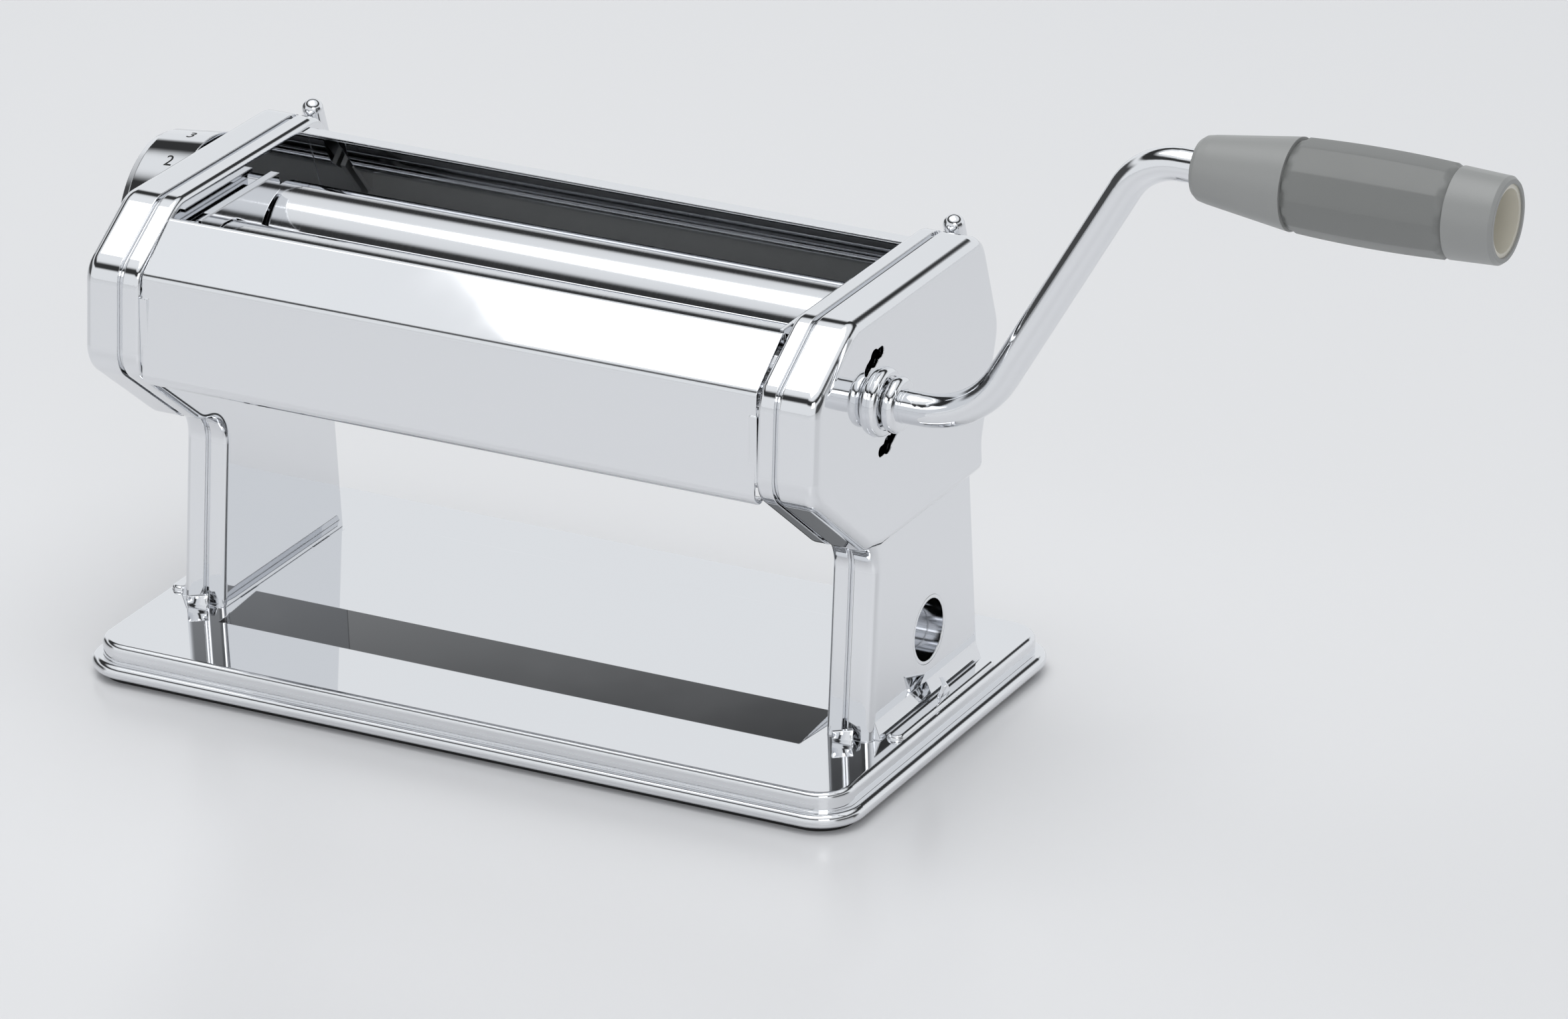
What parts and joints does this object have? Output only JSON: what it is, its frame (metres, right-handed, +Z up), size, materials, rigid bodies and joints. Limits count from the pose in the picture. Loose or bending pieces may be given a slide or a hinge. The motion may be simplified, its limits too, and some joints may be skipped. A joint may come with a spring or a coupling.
{
  "type": "pasta roller machine",
  "caption": "Hand-cranked pasta roller machine: steel rollers in a chromed frame on a wide base, with a thickness dial and a removable bent crank with a spinning grip.",
  "frame": {"origin": "centre of the base's outline on the table", "axes": "+X along the rollers towards the crank, +Y away from the user who cranks, +Z up"},
  "size_m": [0.3701, 0.1217, 0.1825],
  "materials": {
    "chromed_steel": "polished",
    "roller_steel": "ground and plated",
    "machined_steel": "machined",
    "black_rubber": "matt",
    "light_grey_plastic": "satin",
    "grey_plastic": "satin",
    "cream_plastic": "satin",
    "white_plastic": "satin"
  },
  "bodies": {
    "frame": {"base_plate": "chromed_steel", "foot_ring": "black_rubber", "lock_tabs": "chromed_steel", "right_frame_plate": "chromed_steel", "left_frame_plate": "chromed_steel", "right_cover": "chromed_steel", "left_cover": "chromed_steel", "clamp_socket": "chromed_steel", "front_panel": "chromed_steel", "rear_panel": "chromed_steel", "right_rail": "chromed_steel", "left_rail": "chromed_steel", "right_dough_guide": "chromed_steel", "left_dough_guide": "chromed_steel", "front_upper_tie_rod": "chromed_steel", "front_lower_tie_rod": "chromed_steel", "rear_tie_rod": "chromed_steel", "tie_rod_screws": "machined_steel", "front_scraper": "white_plastic", "right_drive_bush": "white_plastic", "left_drive_bush": "white_plastic", "hub_bush": "chromed_steel", "left_shaft_bearing": "white_plastic", "right_shaft_bearing": "white_plastic", "index_ring": "machined_steel"},
    "drive_roller": {"drive_roller": "roller_steel", "drive_gear": "machined_steel"},
    "crank": {"crank_rod": "chromed_steel", "crank_collar": "chromed_steel", "grip_washer": "machined_steel"},
    "grip": {"crank_grip": "light_grey_plastic", "grip_sleeve": "grey_plastic", "grip_liner": "cream_plastic"},
    "thickness_shaft": {"thickness_shaft": "machined_steel", "right_cam": "machined_steel", "left_cam": "machined_steel", "dial_washer": "machined_steel", "dial_screw": "machined_steel", "dial_spring": "machined_steel"},
    "dial": {"dial": "chromed_steel", "index_pin": "machined_steel"},
    "carriage": {"left_slider": "machined_steel", "right_slider": "machined_steel", "right_yoke": "machined_steel", "rear_scraper": "white_plastic", "slider_springs": "machined_steel"},
    "adjusting_roller": {"adjusting_roller": "roller_steel", "adjusting_gear": "machined_steel"}
  },
  "joints": [
    {"name": "crank_turn", "type": "hinge", "parent": "frame", "child": "drive_roller", "pos_m": [0, -0.0275, 0.099], "axis": [1, 0, 0], "continuous": true},
    {"name": "crank_pull_out", "type": "slide", "parent": "drive_roller", "child": "crank", "axis": [1, 0, 0], "range_m": [0, 0.027]},
    {"name": "grip_spin", "type": "hinge", "parent": "crank", "child": "grip", "pos_m": [0.2, -0.0275, 0.171], "axis": [1, 0, 0], "continuous": true},
    {"name": "setting_turn", "type": "hinge", "parent": "frame", "child": "thickness_shaft", "pos_m": [-0.1, 0.0026, 0.099], "axis": [1, 0, 0], "range_deg": [-60, 180]},
    {"name": "dial_pull", "type": "slide", "parent": "thickness_shaft", "child": "dial", "axis": [-1, 0, 0], "range_m": [0, 0.004], "stiffness_N_per_m": 600, "springref_m": -0.002, "deforming": ["dial_spring"]},
    {"name": "roller_gap", "type": "slide", "parent": "frame", "child": "carriage", "axis": [0, -1, 0], "range_m": [-0.0006, 0.0018], "deforming": ["slider_springs"]},
    {"name": "adjusting_turn", "type": "hinge", "parent": "carriage", "child": "adjusting_roller", "pos_m": [0, 0.0026, 0.099], "axis": [1, 0, 0], "continuous": true}
  ],
  "couplings": [
    {"joint": "adjusting_turn", "follows": "crank_turn", "ratio": -1},
    {"joint": "setting_turn", "follows": "roller_gap", "rad_per_m": 1745.3}
  ]
}
